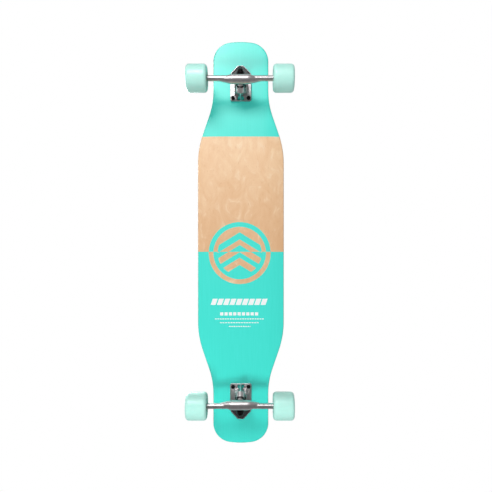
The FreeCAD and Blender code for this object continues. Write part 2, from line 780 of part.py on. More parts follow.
def wheel_nodes():
    """The pieces that turn with each wheel, and those that its axle carries."""
    turning = {
        "wheel_tyre": wheel_tyre(),
        "wheel_core": wheel_core(),
        "bearing_outer_races": pair(bearing_outer_race()),
        "bearing_shields": pair(bearing_shields()),
        "bearing_balls": pair(bearing_balls()),
        "bearing_cages": pair(bearing_cage()),
    }
    fixed = {
        "bearing_inner_races": pair(bearing_inner_race()),
        "bearing_spacers": bearing_spacer(),
        "speed_washers": speed_washers(),
        "axle_nuts": axle_nut(),
    }
    nodes = {}
    for end, end_name in ((1, "front"), (-1, "rear")):
        for side, side_name in ((1, "left"), (-1, "right")):
            for name, shape in turning.items():
                nodes["%s_%s_%s" % (end_name, side_name, name)] = place_wheel(shape, end, side)
        for name, shape in fixed.items():
            both = [place_wheel(shape, end, side) for side in (1, -1)]
            nodes[end_name + "_" + name] = Part.makeCompound(both)
    return nodes


def all_nodes():
    nodes = deck_plies()
    nodes["grip_tape"] = grip_tape()
    nodes["mounting_bolts"] = mounting_bolts()
    nodes["mounting_nuts"] = mounting_nuts()
    nodes.update(truck_nodes())
    nodes.update(wheel_nodes())
    return nodes


os.makedirs("parts", exist_ok=True)
for node_name, node_shape in all_nodes().items():
    node_shape.exportStep("parts/%s.step" % node_name)
    solids = len(node_shape.Solids)
    state = "valid" if node_shape.isValid() else "INVALID"
    print("%-34s %2d solid(s) %10.1f mm3 %s" % (node_name, solids, node_shape.Volume, state))
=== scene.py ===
import math

import bmesh
import bpy
from mathutils import Matrix, Vector


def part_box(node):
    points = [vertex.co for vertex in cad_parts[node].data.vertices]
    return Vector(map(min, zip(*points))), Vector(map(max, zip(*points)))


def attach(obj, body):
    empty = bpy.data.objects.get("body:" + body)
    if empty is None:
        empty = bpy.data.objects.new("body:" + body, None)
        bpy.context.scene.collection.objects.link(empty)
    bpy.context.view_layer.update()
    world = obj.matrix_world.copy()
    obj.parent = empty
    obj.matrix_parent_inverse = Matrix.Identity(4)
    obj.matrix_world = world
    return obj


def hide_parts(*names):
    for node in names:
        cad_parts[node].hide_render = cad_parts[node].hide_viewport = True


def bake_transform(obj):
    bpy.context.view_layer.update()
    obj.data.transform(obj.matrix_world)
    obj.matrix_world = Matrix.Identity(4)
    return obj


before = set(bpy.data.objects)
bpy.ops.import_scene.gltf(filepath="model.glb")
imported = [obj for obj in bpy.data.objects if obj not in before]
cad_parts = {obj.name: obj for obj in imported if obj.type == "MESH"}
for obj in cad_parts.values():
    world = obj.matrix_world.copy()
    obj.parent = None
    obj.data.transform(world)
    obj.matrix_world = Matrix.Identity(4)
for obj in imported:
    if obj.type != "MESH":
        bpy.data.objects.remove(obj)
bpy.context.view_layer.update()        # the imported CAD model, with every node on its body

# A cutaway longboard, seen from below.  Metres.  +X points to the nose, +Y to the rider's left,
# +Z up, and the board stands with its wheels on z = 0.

ENDS = {"front": 1, "rear": -1}
SIDES = {"left": 1, "right": -1}
MM = 0.001

# ---- meshes -----------------------------------------------------------------------------
# A shape is a pair: its points and its faces, as lists of point numbers.


def rounded(corners, steps=6):
    """The closed outline through (along, radius, corner radius), with an arc at each corner."""
    outline = []
    count = len(corners)
    for i, (along, radius, corner_radius) in enumerate(corners):
        corner = Vector((along, radius))
        if corner_radius == 0:
            outline.append(corner)
            continue
        back = (Vector(corners[i - 1][:2]) - corner).normalized()
        forward = (Vector(corners[(i + 1) % count][:2]) - corner).normalized()
        half_angle = back.angle(forward) / 2
        reach = corner_radius / math.tan(half_angle)
        centre = corner + (back + forward).normalized() * (corner_radius / math.sin(half_angle))
        first = (corner + back * reach - centre).normalized()
        last = (corner + forward * reach - centre).normalized()
        for step in range(steps + 1):
            outline.append(centre + first.slerp(last, step / steps) * corner_radius)
    return outline


def hex_radius(angle, half_flats):
    """How far a hexagon's side is from its middle in one direction."""
    from_flat = (angle + math.pi / 6) % (math.pi / 3) - math.pi / 6
    return half_flats / math.cos(from_flat)


def revolve(outline, segments=96, half_flats=None):
    """Turns a closed outline of (along, radius) about local Z. With half_flats, the sides that
    would stand out further than a hexagon are cut off flat."""
    points = []
    faces = []
    rows = len(outline)
    for segment in range(segments):
        angle = 2 * math.pi * segment / segments
        for along, radius in outline:
            if half_flats:
                radius = min(radius, hex_radius(angle, half_flats))
            points.append(Vector((radius * math.cos(angle), radius * math.sin(angle), along)))
    for segment in range(segments):
        here = segment * rows
        there = (segment + 1) % segments * rows
        for row in range(rows):
            above = (row + 1) % rows
            faces.append([here + row, here + above, there + above, there + row])
    return points, faces


def rod(rows, columns=32):
    """A solid rod along local Z. rows lists (height, radius at each of the columns)."""
    points = []
    faces = []
    for height, radii in rows:
        for column, radius in enumerate(radii):
            angle = 2 * math.pi * column / columns
            points.append(Vector((radius * math.cos(angle), radius * math.sin(angle), height)))
    for row in range(len(rows) - 1):
        for column in range(columns):
            beside = (column + 1) % columns
            low = row * columns
            high = low + columns
            faces.append([low + column, low + beside, high + beside, high + column])
    faces.append(list(range(columns))[::-1])
    faces.append([(len(rows) - 1) * columns + column for column in range(columns)])
    return points, faces


def threaded_rod(radius, length, threads, pitch, chamfer=0.7 * MM, columns=32):
    """A rod along local Z whose stretches in threads, given as (start, end), carry a thread."""
    rows_per_turn = 8
    depth = 0.55 * pitch
    heights = {0.0, chamfer, length - chamfer, length}
    for start, end in threads:
        steps = int((end - start) / pitch * rows_per_turn)
        heights.update(start + (end - start) * i / steps for i in range(steps + 1))

    def radius_at(height, column):
        groove = 0.0
        if any(start <= height <= end for start, end in threads):
            phase = (height / pitch - column / columns) % 1
            groove = depth * (1 - abs(2 * phase - 1))
        cut = max(chamfer - height, chamfer - (length - height), 0.0)
        return radius - max(groove, cut)

    rows = []
    for height in sorted(heights):
        rows.append((height, [radius_at(height, column) for column in range(columns)]))
    return rod(rows, columns)


def moved(shape, matrix):
    """The shape, carried by the matrix."""
    return [matrix @ point for point in shape[0]], shape[1]


def joined(shapes):
    """Several shapes as one."""
    points = []
    faces = []
    for some_points, some_faces in shapes:
        first = len(points)
        points.extend(some_points)
        faces.extend([first + index for index in face] for face in some_faces)
    return points, faces


def placed(origin, direction):
    """The matrix that puts a shape's local Z along direction, starting at origin."""
    turn = Vector(direction).to_track_quat("Z", "Y").to_matrix().to_4x4()
    return Matrix.Translation(origin) @ turn


def new_object(name, shape):
    mesh = bpy.data.meshes.new(name)
    mesh.from_pydata(shape[0], [], shape[1])
    mesh.validate()
    finish_normals(mesh)
    made = bpy.data.objects.new(name, mesh)
    bpy.context.collection.objects.link(made)
    return made


def finish_normals(mesh):
    """All faces look outwards, and only real edges stay sharp."""
    mesh.update()
    work = bmesh.new()
    work.from_mesh(mesh)
    bmesh.ops.recalc_face_normals(work, faces=work.faces)
    work.to_mesh(mesh)
    work.free()
    mesh.shade_smooth()
    mesh.set_sharp_from_angle(angle=math.radians(32))


def apply_modifiers(obj):
    """Replaces the object's mesh by what its modifiers make of it."""
    seen = obj.evaluated_get(bpy.context.evaluated_depsgraph_get())
    mesh = bpy.data.meshes.new_from_object(seen)
    obj.modifiers.clear()
    obj.data = mesh


def piece(name, shape, body, material, slot, *nodes):
    """A new rigid piece that moves with body and stands for the CAD nodes."""
    made = new_object(name, shape)
    return dressed(made, body, material, slot, *nodes)


def dressed(made, body, material, slot, *nodes):
    """Gives an object its material and body, and hides the CAD nodes that it stands for. slot is
    not used.
    """
    made.data.materials.clear()
    made.data.materials.append(material)
    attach(made, body)
    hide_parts(*nodes)
    return made


# ---- materials --------------------------------------------------------------------------


def srgb(red, green, blue, lightness=1.0):
    """A colour given as 0 to 255 per channel, in the linear form that shaders take."""
    linear = []
    for channel in (red, green, blue):
        share = channel * lightness / 255
        linear.append(share / 12.92 if share <= 0.04045 else ((share + 0.055) / 1.055) ** 2.4)
    return (*linear, 1.0)


class Nodes:
    """One material's node tree, with short ways to add what the materials here need."""

    def __init__(self, name):
        self.material = bpy.data.materials.new(name)
        self.material.use_nodes = True
        self.tree = self.material.node_tree
        self.shader = self.tree.nodes["Principled BSDF"]
        self.place = self.add("ShaderNodeTexCoord").outputs["Object"]

    def add(self, kind, inputs=None, **settings):
        node = self.tree.nodes.new(kind)
        for name, value in settings.items():
            setattr(node, name, value)
        for name, value in (inputs or {}).items():
            self.give(node.inputs[name], value)
        return node

    def give(self, socket, value):
        if isinstance(value, bpy.types.NodeSocket):
            self.tree.links.new(value, socket)
        else:
            socket.default_value = value

    def set(self, **values):
        """Sets the shader's sockets: base_color=..., roughness=... and so on."""
        sockets = {socket.name.lower().replace(" ", "_"): socket for socket in self.shader.inputs}
        for name, value in values.items():
            self.give(sockets[name], value)
        return self.material

    def math(self, operation, first, second=0.0):
        node = self.add("ShaderNodeMath", {0: first, 1: second}, operation=operation)
        return node.outputs[0]

    # masks are 1 inside and 0 outside

    def inside(self, value, half):
        """Where value is closer to zero than half."""
        return self.math("LESS_THAN", self.math("ABSOLUTE", value), half)

    def both(self, first, second):
        return self.math("MULTIPLY", first, second)

    def either(self, first, second):
        return self.math("MAXIMUM", first, second)

    def facing_down(self, least):
        """Where the surface looks down. It is level at 1 and upright at 0, and least is between."""
        normal = self.add("ShaderNodeTexCoord").outputs["Normal"]
        up = self.add("ShaderNodeSeparateXYZ", {"Vector": normal}).outputs["Z"]
        return self.math("LESS_THAN", up, -least)

    def axes(self):
        split = self.add("ShaderNodeSeparateXYZ", {"Vector": self.place})
        return split.outputs["X"], split.outputs["Y"], split.outputs["Z"]

    def noise(self, scale, stretch=(1, 1, 1), detail=3.0, roughness=0.5, distortion=0.0):
        """Noise over the object's own coordinates, with scale features to the metre."""
        mapping = self.add("ShaderNodeMapping", {"Vector": self.place, "Scale": stretch})
        inputs = {
            "Vector": mapping.outputs[0],
            "Scale": scale,
            "Detail": detail,
            "Roughness": roughness,
            "Distortion": distortion,
        }
        return self.add("ShaderNodeTexNoise", inputs).outputs["Fac"]

    def range(self, value, low, high, new_low=0.0, new_high=1.0):
        """Value from low to high becomes new_low to new_high, and goes no further."""
        inputs = {
            "Value": value,
            "From Min": low,
            "From Max": high,
            "To Min": new_low,
            "To Max": new_high,
        }
        return self.add("ShaderNodeMapRange", inputs).outputs[0]

    def mix(self, share, first, second):
        node = self.add("ShaderNodeMix", data_type="RGBA")
        self.give(node.inputs["Factor"], share)
        self.give(node.inputs[6], first)
        self.give(node.inputs[7], second)
        return node.outputs[2]

    def bump(self, height, distance, strength=1.0):
        inputs = {"Height": height, "Distance": distance, "Strength": strength}
        node = self.add("ShaderNodeBump", inputs)
        self.give(self.shader.inputs["Normal"], node.outputs[0])


# Graphics on the underside: where the paint ends, and the places of the emblem and the bars.
BARE_FROM_X = -0.0252
BARE_TO_X = 0.2820
EMBLEM_X = -0.0285
EMBLEM_Y = -0.0030
EMBLEM_RADIUS = 0.0825
EMBLEM_LINE = 0.0125
CHEVRON_SLOPE = 0.62
CHEVRON_HALF = 0.0095
CHEVRON_TIPS = (0.046, 0.012, -0.022)      # from the emblem's middle
PRINT_Y = -0.0030
PRINT_SLANT = 0.35

# Each row of the print: its place along the board, its height and length, the pitch of its
# blocks, and the share of the pitch that a block fills.
TITLE_ROW = (-0.1585, 0.0165, 0.149, 0.0166, 0.80)
SMALL_ROWS = (
    (-0.1905, 0.0085, 0.104, 0.0116, 0.72),
    (-0.2040, 0.0024, 0.132, 0.0066, 0.72),
    (-0.2140, 0.0024, 0.105, 0.0070, 0.72),
    (-0.2240, 0.0024, 0.057, 0.0062, 0.72),
)


def maple_colour(nodes, lightness=1.0):
    """Bare maple: fibres along the board, a curled figure with pale wisps, warm clouds and small
    flecks, and painted shade that makes it a little browner towards the tail."""
    fibres = nodes.noise(34, stretch=(0.9, 26, 26), detail=5, roughness=0.62)
    figure = nodes.noise(17, stretch=(1.0, 1.5, 1.5), detail=5, roughness=0.66, distortion=1.3)
    clouds = nodes.noise(9, stretch=(1.0, 1.3, 1.3), detail=3, distortion=0.8)
    wisps = nodes.noise(17, stretch=(1.0, 1.5, 1.5), detail=4, roughness=0.62, distortion=1.9)
    flecks = nodes.noise(420, stretch=(0.22, 1, 1), detail=1)
    light = srgb(250, 213, 171, lightness)
    warm = srgb(239, 194, 148, lightness)
    brown = srgb(204, 148, 98, lightness)
    pale = srgb(255, 229, 198, lightness)
    colour = nodes.mix(nodes.range(figure, 0.34, 0.7), warm, light)
    colour = nodes.mix(nodes.range(clouds, 0.48, 0.72, 0.0, 0.6), colour, warm)
    x, _, _ = nodes.axes()
    # painted shade: browner from 0.24 m towards the middle and over the whole tail half
    colour = nodes.mix(nodes.range(x, 0.24, 0.0, 0.0, 0.36), colour, brown)
    colour = nodes.mix(nodes.range(wisps, 0.57, 0.72, 0.0, 0.55), colour, pale)
    colour = nodes.mix(nodes.range(fibres, 0.58, 0.8, 0.0, 0.34), colour, brown)
    return nodes.mix(nodes.range(flecks, 0.66, 0.8, 0.0, 0.4), colour, brown)


def emblem_mask(nodes, x, y):
    """A plain ring around three chevrons that point to the nose."""
    up = nodes.math("SUBTRACT", x, EMBLEM_X)
    side = nodes.math("SUBTRACT", y, EMBLEM_Y)
    square = nodes.math("ADD", nodes.math("MULTIPLY", up, up), nodes.math("MULTIPLY", side, side))
    distance = nodes.math("SQRT", square)
    middle_radius = EMBLEM_RADIUS - EMBLEM_LINE / 2
    mask = nodes.inside(nodes.math("SUBTRACT", distance, middle_radius), EMBLEM_LINE / 2)
    field = nodes.math("LESS_THAN", distance, EMBLEM_RADIUS - 1.9 * EMBLEM_LINE)
    slope = nodes.math("MULTIPLY", nodes.math("ABSOLUTE", side), CHEVRON_SLOPE)
    for tip in CHEVRON_TIPS:
        height = nodes.math("SUBTRACT", nodes.math("ADD", up, slope), tip)
        chevron = nodes.both(nodes.inside(height, CHEVRON_HALF), field)
        mask = nodes.either(mask, chevron)
    return mask


def dashes(nodes, x, y, row, slant=0.0):
    """A row of equal blocks across the board. slant leans them."""
    centre_x, height, length, pitch, fill = row
    up = nodes.math("SUBTRACT", x, centre_x)
    side = nodes.math("SUBTRACT", y, PRINT_Y)
    across = nodes.math("SUBTRACT", side, nodes.math("MULTIPLY", up, slant))
    strip = nodes.both(nodes.inside(up, height / 2), nodes.inside(across, length / 2))
    step = nodes.math("FRACT", nodes.math("DIVIDE", nodes.math("ADD", across, length / 2), pitch))
    return nodes.both(strip, nodes.math("LESS_THAN", step, fill))


def print_mask(nodes, x, y):
    """Plain white rows of blocks and thin lines on the tail's paint."""
    mask = dashes(nodes, x, y, TITLE_ROW, PRINT_SLANT)
    for row in SMALL_ROWS:
        mask = nodes.either(mask, dashes(nodes, x, y, row))
    return mask


def painted_veneer():
    """Maple with mint lacquer at both ends, a counterchanged emblem and a bare rounded rim."""
    nodes = Nodes("painted_veneer")
    x, y, _ = nodes.axes()
    wood = maple_colour(nodes)
    middle = (BARE_FROM_X + BARE_TO_X) / 2
    bare = nodes.inside(nodes.math("SUBTRACT", x, middle), (BARE_TO_X - BARE_FROM_X) / 2)
    paint = nodes.math("SUBTRACT", 1.0, bare)
    paint = nodes.math("ABSOLUTE", nodes.math("SUBTRACT", paint, emblem_mask(nodes, x, y)))
    flat = nodes.facing_down(0.6)
    paint = nodes.both(paint, flat)
    streaks = nodes.noise(30, stretch=(0.5, 14, 14), detail=4)
    mint_low = srgb(54, 231, 214)
    mint_high = srgb(62, 234, 219)
    mint = nodes.mix(nodes.range(streaks, 0.3, 0.7), mint_low, mint_high)
    colour = nodes.mix(paint, wood, mint)
    white = nodes.both(print_mask(nodes, x, y), flat)
    colour = nodes.mix(white, colour, srgb(250, 252, 251))
    grain = nodes.noise(60, stretch=(0.5, 30, 30), detail=4)
    nodes.bump(grain, 0.1 * MM, 0.12)
    smudges = nodes.noise(9, detail=4)
    return nodes.set(
        base_color=colour,
        roughness=nodes.range(smudges, 0.3, 0.7, 0.42, 0.48),
        specular_ior_level=1.0,
    )


def maple_ply(name, lightness):
    """A veneer seen at the deck's edge: fine end grain in long streaks."""
    nodes = Nodes(name)
    grain = nodes.noise(90, stretch=(0.6, 5, 22), detail=4)
    nodes.bump(grain, 0.1 * MM, 0.5)
    return nodes.set(
        base_color=maple_colour(nodes, lightness),
        roughness=nodes.range(grain, 0.3, 0.7, 0.48, 0.62),
    )


def grip_tape():
    """Black grip: coarse grit that stands up, a few grains painted light grey as painted glints,
    and scuffed patches.
    """
    nodes = Nodes("grip")
    grit = nodes.add("ShaderNodeTexVoronoi", {"Vector": nodes.place, "Scale": 1500.0})
    grain = nodes.range(grit.outputs["Distance"], 0.0, 0.7, 1.0, 0.0)
    scuffs = nodes.noise(14, stretch=(1, 1.8, 1), detail=5, roughness=0.65)
    base = nodes.mix(nodes.range(scuffs, 0.45, 0.75), srgb(26, 26, 27), srgb(52, 51, 50))
    split = nodes.add("ShaderNodeSeparateColor", {"Color": grit.outputs["Color"]})
    # painted glints: a few grit cells get a light grey colour
    painted_glint = nodes.math("GREATER_THAN", split.outputs[0], 0.93)
    colour = nodes.mix(nodes.both(painted_glint, 0.6), base, srgb(140, 140, 138))
    nodes.bump(grain, 0.35 * MM, 0.9)
    return nodes.set(base_color=colour, roughness=nodes.range(scuffs, 0.3, 0.7, 0.82, 0.95))


def cast_aluminium():
    """Tumbled, bright cast aluminium: faint orange-peel, a few dull patches, and painted shade: the
    floor of the pocket under each baseplate's tip is painted dark grey and not metallic."""
    recess_z = 102 * MM
    silver = srgb(214, 209, 210)
    dull_silver = srgb(192, 186, 188)
    # the colour of the painted shade on the pocket floor under each baseplate's tip
    black = srgb(48, 46, 48)
    nodes = Nodes("cast_aluminium")
    peel = nodes.noise(750, detail=2)
    dull = nodes.noise(60, detail=4, roughness=0.6)
    nodes.bump(peel, 0.03 * MM, 0.3)
    _, _, z = nodes.axes()
    # painted shade: the downward-facing pocket floor under the baseplate's tip turns dark grey and
    # not metallic
    painted_recess_shade = nodes.inside(nodes.math("SUBTRACT", z, recess_z), 1.0 * MM)
    painted_recess_shade = nodes.both(painted_recess_shade, nodes.facing_down(0.8))
    colour = nodes.mix(nodes.range(dull, 0.35, 0.7), silver, dull_silver)
    colour = nodes.mix(painted_recess_shade, colour, black)
    return nodes.set(
        base_color=colour,
        metallic=nodes.math("SUBTRACT", 1.0, painted_recess_shade),
        roughness=nodes.range(dull, 0.3, 0.7, 0.33, 0.42),
    )


def steel(name, light, dark, roughness, metallic=1.0):
    """Turned or coated steel with fine marks."""
    nodes = Nodes(name)
    marks = nodes.noise(900, stretch=(1, 0.25, 1), detail=3)
    wear = nodes.noise(150, detail=4)
    nodes.bump(marks, 0.02 * MM, 0.5)
    colour = nodes.mix(nodes.range(wear, 0.35, 0.7), light, dark)
    gloss = nodes.range(marks, 0.3, 0.7, *roughness)
    return nodes.set(base_color=colour, metallic=metallic, roughness=gloss)


def urethane(name, light, dark, roughness, glow=0.0):
    """Cast urethane: even colour, a satin skin and, where glow is over 0, some light inside."""
    nodes = Nodes(name)
    clouds = nodes.noise(45, detail=3)
    skin = nodes.noise(1100, detail=2)
    nodes.bump(skin, 0.03 * MM, 0.4)
    colour = nodes.mix(nodes.range(clouds, 0.3, 0.7), light, dark)
    nodes.set(base_color=colour, roughness=nodes.range(clouds, 0.3, 0.7, *roughness))
    if glow > 0:
        depths = (4 * MM, 6 * MM, 6 * MM)
        nodes.set(subsurface_weight=glow, subsurface_radius=depths, subsurface_scale=1.0)
    return nodes.material


def make_materials():
    mint_light = srgb(196, 251, 239)
    mint_dark = srgb(188, 248, 235)
    return {
        "painted_veneer": painted_veneer(),
        "ply_light": maple_ply("ply_light", 0.98),
        "ply_dark": maple_ply("ply_dark", 0.84),
        "grip": grip_tape(),
        "cast_aluminium": cast_aluminium(),
        "axle_steel": steel("axle_steel", srgb(215, 213, 210), srgb(180, 178, 176), (0.2, 0.34)),
        "black_steel": steel("black_steel", srgb(36, 32, 34), srgb(20, 18, 19), (0.26, 0.42), 0.7),
        "bushing": urethane("bushing_urethane", srgb(34, 29, 31), srgb(22, 18, 20), (0.35, 0.5)),
        "cup": urethane("cup_urethane", srgb(40, 38, 38), srgb(28, 26, 26), (0.4, 0.55)),
        "wheel": urethane("wheel_urethane", mint_light, mint_dark, (0.32, 0.42), glow=0.15),
        "hub": urethane("hub_nylon", srgb(34, 32, 35), srgb(22, 21, 23), (0.35, 0.5)),
        "bearing": steel("bearing_steel", srgb(205, 205, 208), srgb(170, 170, 174), (0.12, 0.24)),
        "cage": urethane("cage_nylon", srgb(120, 84, 50), srgb(104, 72, 42), (0.4, 0.55)),
        "shield": steel("bearing_shield", srgb(70, 70, 74), srgb(46, 46, 50), (0.25, 0.4), 0.8),
    }


# ---- wheels -----------------------------------------------------------------------------


TYRE_RADIUS = 35 * MM
TYRE_HALF_WIDTH = 26.5 * MM
TYRE_LIP_RADIUS = 8.5 * MM
HUB_RADIUS = 17 * MM          # where the tyre's urethane meets the hub
HUB_HALF_WIDTH = 12.5 * MM
BEARING_SEAT_RADIUS = 11 * MM
TREAD_OFFSET = 6.0 * MM       # how far the tread's middle is outside the hub's middle


def wheel_place(end, side):
    """The matrix from a wheel's own frame, with local Z along the axle and away from the
    board, and the middle of the tyre's width at the origin."""
    low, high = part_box(f"{end}_{side}_wheel_tyre")
    return placed((low + high) / 2, (0, SIDES[side], 0))


def tyre_shape():
    """A tread with large rounded lips, and dished faces down to the hub."""
    inner_face_radius = 20 * MM
    outer_face_radius = 22 * MM
    face_edge = 2.9 * MM
    corners = [
        (-TYRE_HALF_WIDTH, TYRE_RADIUS, TYRE_LIP_RADIUS),
        (-TYRE_HALF_WIDTH, inner_face_radius, face_edge),
        (-HUB_HALF_WIDTH - TREAD_OFFSET, HUB_RADIUS, 0),
        (HUB_HALF_WIDTH - TREAD_OFFSET, HUB_RADIUS, 0),
        (TYRE_HALF_WIDTH, outer_face_radius, face_edge),
        (TYRE_HALF_WIDTH, TYRE_RADIUS, TYRE_LIP_RADIUS),
    ]
    return revolve(rounded(corners, steps=12), segments=144)


def hub_shape():
    """A nylon hub: a seat for each bearing, and a groove around it on the outer face."""
    rim_radius = HUB_RADIUS + 0.1 * MM
    edge = 0.3 * MM
    groove = HUB_HALF_WIDTH - 1.0 * MM      # the groove's floor
    corners = [
        (-HUB_HALF_WIDTH, rim_radius, edge),
        (-HUB_HALF_WIDTH, BEARING_SEAT_RADIUS, edge),
        (HUB_HALF_WIDTH, BEARING_SEAT_RADIUS, edge),
        (HUB_HALF_WIDTH, 12.6 * MM, edge),
        (groove, 13.0 * MM, edge),
        (groove, 15.6 * MM, edge),
        (HUB_HALF_WIDTH, 16.0 * MM, edge),
        (HUB_HALF_WIDTH, rim_radius, edge),
    ]
    return revolve(rounded(corners, steps=3), segments=96)


def hub_spokes():
    """Short spokes across the groove."""
    spoke_count = 12
    middle = Vector((14.3, 0, 11.9)) * MM
    size = Vector((3.0, 1.4, 1.0)) * MM
    spoke = rounded_block(middle, size)
    turns = [2 * math.pi * i / spoke_count for i in range(spoke_count)]
    return joined([moved(spoke, Matrix.Rotation(turn, 4, "Z")) for turn in turns])


def rounded_block(centre, size):
    """A small block whose upper edges are bevelled."""
    bevel = min(size) * 0.25
    levels = [
        (-size.z / 2, 0.0),
        (size.z / 2 - bevel, 0.0),
        (size.z / 2, bevel),
    ]
    points = []
    for height, shrink in levels:
        half_x = size.x / 2 - shrink
        half_y = size.y / 2 - shrink
        for sign_x, sign_y in ((1, 1), (-1, 1), (-1, -1), (1, -1)):
            points.append(centre + Vector((sign_x * half_x, sign_y * half_y, height)))
    faces = [[3, 2, 1, 0], [8, 9, 10, 11]]
    for level in (0, 4):
        for corner in range(4):
            beside = (corner + 1) % 4
            faces.append([level + corner, level + beside, level + 4 + beside, level + 4 + corner])
    return points, faces


def build_wheels(materials):
    hub_shift = Matrix.Translation((0, 0, -TREAD_OFFSET))
    hub = joined([hub_shape(), hub_spokes()])
    for end in ENDS:
        for side in SIDES:
            name = f"{end}_{side}"
            body = name + "_wheel"
            place = wheel_place(end, side)
            tyre = moved(tyre_shape(), place)
            piece(name + "_tyre", tyre, body, materials["wheel"], "wheel_urethane",
                  name + "_wheel_tyre")
            core = moved(hub, place @ hub_shift)
            piece(name + "_hub", core, body, materials["hub"], "hub_nylon", name + "_wheel_core")


# ---- trucks -----------------------------------------------------------------------------


BUSHING_RADIUS = 12.7 * MM
BUSHING_LENGTH = 15 * MM
CONE_RADIUS = 9.5 * MM        # the small end of the roadside bushing
SEAT_HALF = 3.0 * MM          # half of the hanger's thickness between the bushings
WASHER_THICKNESS = 2.0 * MM
WASHER_RIM = 1.4 * MM         # how far the cup stands up around its bushing
PIN_RADIUS = 4.75 * MM
PIN_FLATS = 14.3 * MM         # across the kingpin's head and its nut
SEAT_BACK = SEAT_HALF + BUSHING_LENGTH + WASHER_THICKNESS
BOSS_THICKNESS = 8.0 * MM     # metal between the kingpin's head and the boardside washer
PIN_PAST_WASHER = 10.5 * MM


def truck_frame(end):
    """The seat's place, the kingpin's direction and the axle's place of one truck."""
    low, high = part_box(f"{end}_axle")
    axle = (low + high) / 2
    direction = Vector((ENDS[end], 0, -1)).normalized()
    low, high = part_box(f"{end}_boardside_bushing")
    boardside = (low + high) / 2
    low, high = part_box(f"{end}_roadside_bushing")
    roadside = (low + high) / 2
    return (boardside + roadside) / 2, direction, axle


def soft_casting(node, body, material, rounds):
    """A copy of a CAD casting whose edges and inner corners are rounded as a mould leaves them.
    rounds is how often it is smoothed."""
    made = bpy.data.objects.new(node + "_casting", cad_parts[node].data.copy())
    bpy.context.collection.objects.link(made)
    remesh = made.modifiers.new("remesh", "REMESH")
    remesh.mode = "VOXEL"
    remesh.voxel_size = 0.62 * MM
    soften = made.modifiers.new("soften", "SMOOTH")
    soften.factor = 0.5
    soften.iterations = rounds
    apply_modifiers(made)
    made.data.shade_smooth()
    return dressed(made, body, material, "cast_aluminium", node)


def lock_nut_shape(across_flats, hole_radius, height, collar):
    """A hexagonal lock nut: bevelled corners, a washer face below and a round collar on top."""
    half_flats = across_flats / 2
    corner = half_flats / math.cos(math.pi / 6)
    hex_top = height - collar
    bevel = 0.55 * (corner - half_flats)
    rise = corner - half_flats * 0.985
    shares = [step / 5 for step in range(6)]      # in steps, because the flats cut the bevel
    outline = [
        Vector((0.0, hole_radius)),
        Vector((0.0, half_flats * 0.96)),
    ]
    outline += [Vector((bevel * share, corner - rise * (1 - share))) for share in shares]
    outline += [Vector((hex_top - bevel * (1 - share), corner - rise * share)) for share in shares]
    collar_radius = half_flats * 0.88
    outline += rounded([
        (hex_top, collar_radius + 0.1 * MM, 0),
        (height, collar_radius, 0.8 * MM),
        (height, hole_radius + 0.4 * MM, 0.2 * MM),
    ], steps=4)
    outline.append(Vector((height - 0.6 * MM, hole_radius)))
    return revolve(outline, segments=96, half_flats=half_flats)


def bushing_shape(length, near_radius, far_radius, hole_radius):
    """A cone with a short straight stretch at its wide end."""
    corners = [
        (0.0, hole_radius, 0.3 * MM),
        (0.0, near_radius, 1.0 * MM),
        (length * 0.3, near_radius, 2.5 * MM),
        (length, far_radius, 1.4 * MM),
        (length, hole_radius, 0.3 * MM),
    ]
    return revolve(rounded(corners, steps=6), segments=96)


def straight_bushing_shape(length, radius, hole_radius):
    """A barrel that bulges a little between its seat and its washer, with soft edges."""
    rows = 14
    bulge = 0.25 * MM
    edge = 0.9 * MM
    outline = [Vector((0.0, hole_radius))]
    for row in range(rows + 1):
        share = row / rows
        bulged = radius - bulge * (1 - math.sin(math.pi * share))
        outline.append(Vector((length * share, bulged - edge * abs(2 * share - 1) ** 9)))
    outline.append(Vector((length, hole_radius)))
    return revolve(outline, segments=96)


def cupped_washer_shape(rim_radius, hole_radius, thickness, rim_height):
    """A flat washer whose rim stands up around the bushing."""
    wall = 0.9 * MM
    corners = [
        (0.0, hole_radius, 0.2 * MM),
        (0.0, rim_radius, 1.1 * MM),
        (thickness + rim_height, rim_radius, 0.35 * MM),
        (thickness + rim_height, rim_radius - wall, 0.35 * MM),
        (thickness, rim_radius - wall - 0.2 * MM, 0.5 * MM),
        (thickness, hole_radius, 0.2 * MM),
    ]
    return revolve(rounded(corners, steps=4), segments=96)


def build_bushings(end, seat, down, material):
    """The roadside cone and the boardside barrel, squashed between the hanger and the washers."""
    cone = bushing_shape(BUSHING_LENGTH, BUSHING_RADIUS, CONE_RADIUS, PIN_RADIUS)
    barrel = straight_bushing_shape(BUSHING_LENGTH, BUSHING_RADIUS, PIN_RADIUS)
    for name, shape, direction in (("roadside", cone, down), ("boardside", barrel, -down)):
        shape = moved(shape, placed(seat + direction * SEAT_HALF, direction))
        soft = new_object(f"{end}_{name}_bushing_soft", shape)
        soft.data.materials.append(material)
        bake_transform(soft)
        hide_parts(f"{end}_{name}_bushing")


def build_washers(end, seat, down, material):
    """A cupped washer at the far end of each bushing."""
    wall = 1.5 * MM
    for name, direction, bushing_radius in (
        ("roadside", down, CONE_RADIUS),
        ("boardside", -down, BUSHING_RADIUS),
    ):
        rim_radius = bushing_radius + wall
        washer = cupped_washer_shape(rim_radius, PIN_RADIUS, WASHER_THICKNESS, WASHER_RIM)
        washer = moved(washer, placed(seat + direction * SEAT_BACK, -direction))
        piece(f"{end}_{name}_cup_washer", washer, "board", material, "black_steel",
              f"{end}_{name}_washer")


